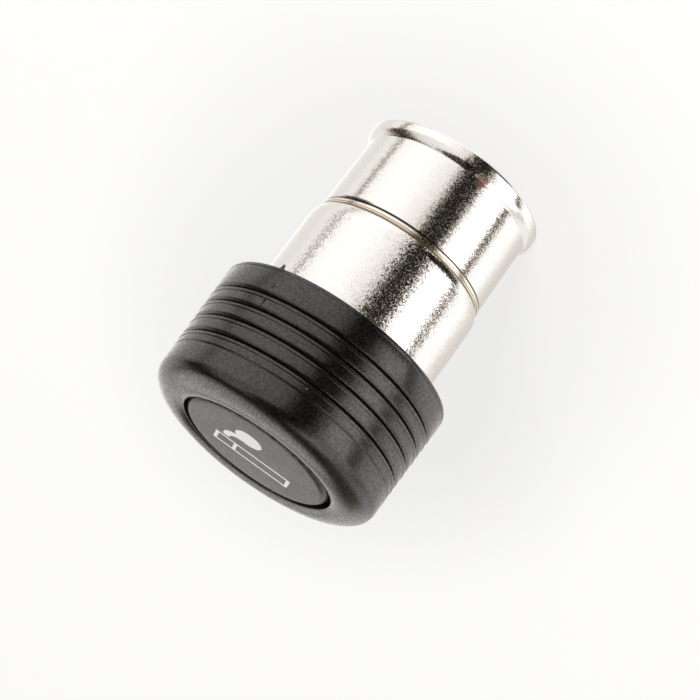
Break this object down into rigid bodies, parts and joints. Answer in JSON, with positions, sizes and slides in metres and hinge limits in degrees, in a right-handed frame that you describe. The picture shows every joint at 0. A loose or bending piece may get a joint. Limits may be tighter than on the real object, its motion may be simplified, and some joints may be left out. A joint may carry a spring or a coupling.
{
  "type": "car cigarette lighter",
  "caption": "Removable electric lighter plug: ribbed plastic knob on a nickel-plated tube, sliding on a spring over a guard sleeve with a coiled element.",
  "frame": {"origin": "centre of the open end's rim, at its lowest point, where the plug stands", "axes": "+Z along the plug's axis from the open end to the knob's face; +X is the reading direction of the sign on the face"},
  "size_m": [0.027, 0.027, 0.0369],
  "materials": {
    "knob_plastic": "satin black, fine moulded grain",
    "disc_plastic": "satin black, fine grain",
    "nickel_plate": "bright nickel plate with a slight orange peel",
    "brass": "turned",
    "steel": "zinc-plated",
    "spring_steel": "drawn wire",
    "cup_steel": "drawn stainless",
    "ceramic_body": "unglazed",
    "mica_sheet": "pearly sheet",
    "ribbon_alloy": "oxidised resistance ribbon"
  },
  "bodies": {
    "guard": {"guard_sleeve": "nickel_plate", "guide_bush": "brass", "spring_seat_lower": "steel", "return_spring": "spring_steel"},
    "plunger": {"knob": "knob_plastic", "face_disc": "disc_plastic", "knob_insert": "brass", "centre_stud": "steel", "stud_nut": "steel", "lock_washer": "steel", "spring_seat_upper": "steel", "body_tube": "nickel_plate", "stop_washer": "steel", "heat_shield": "cup_steel", "ceramic_insulator": "ceramic_body", "mica_upper": "mica_sheet", "element_cup": "cup_steel", "mica_lower": "mica_sheet", "coil_rivet": "steel", "heating_coil": "ribbon_alloy"}
  },
  "joints": [
    {"name": "knob_push", "type": "slide", "parent": "guard", "child": "plunger", "axis": [0, 0, -1], "range_m": [0, 0.006], "stiffness_N_per_m": 700, "springref_m": -0.004, "deforming": ["return_spring"]}
  ]
}
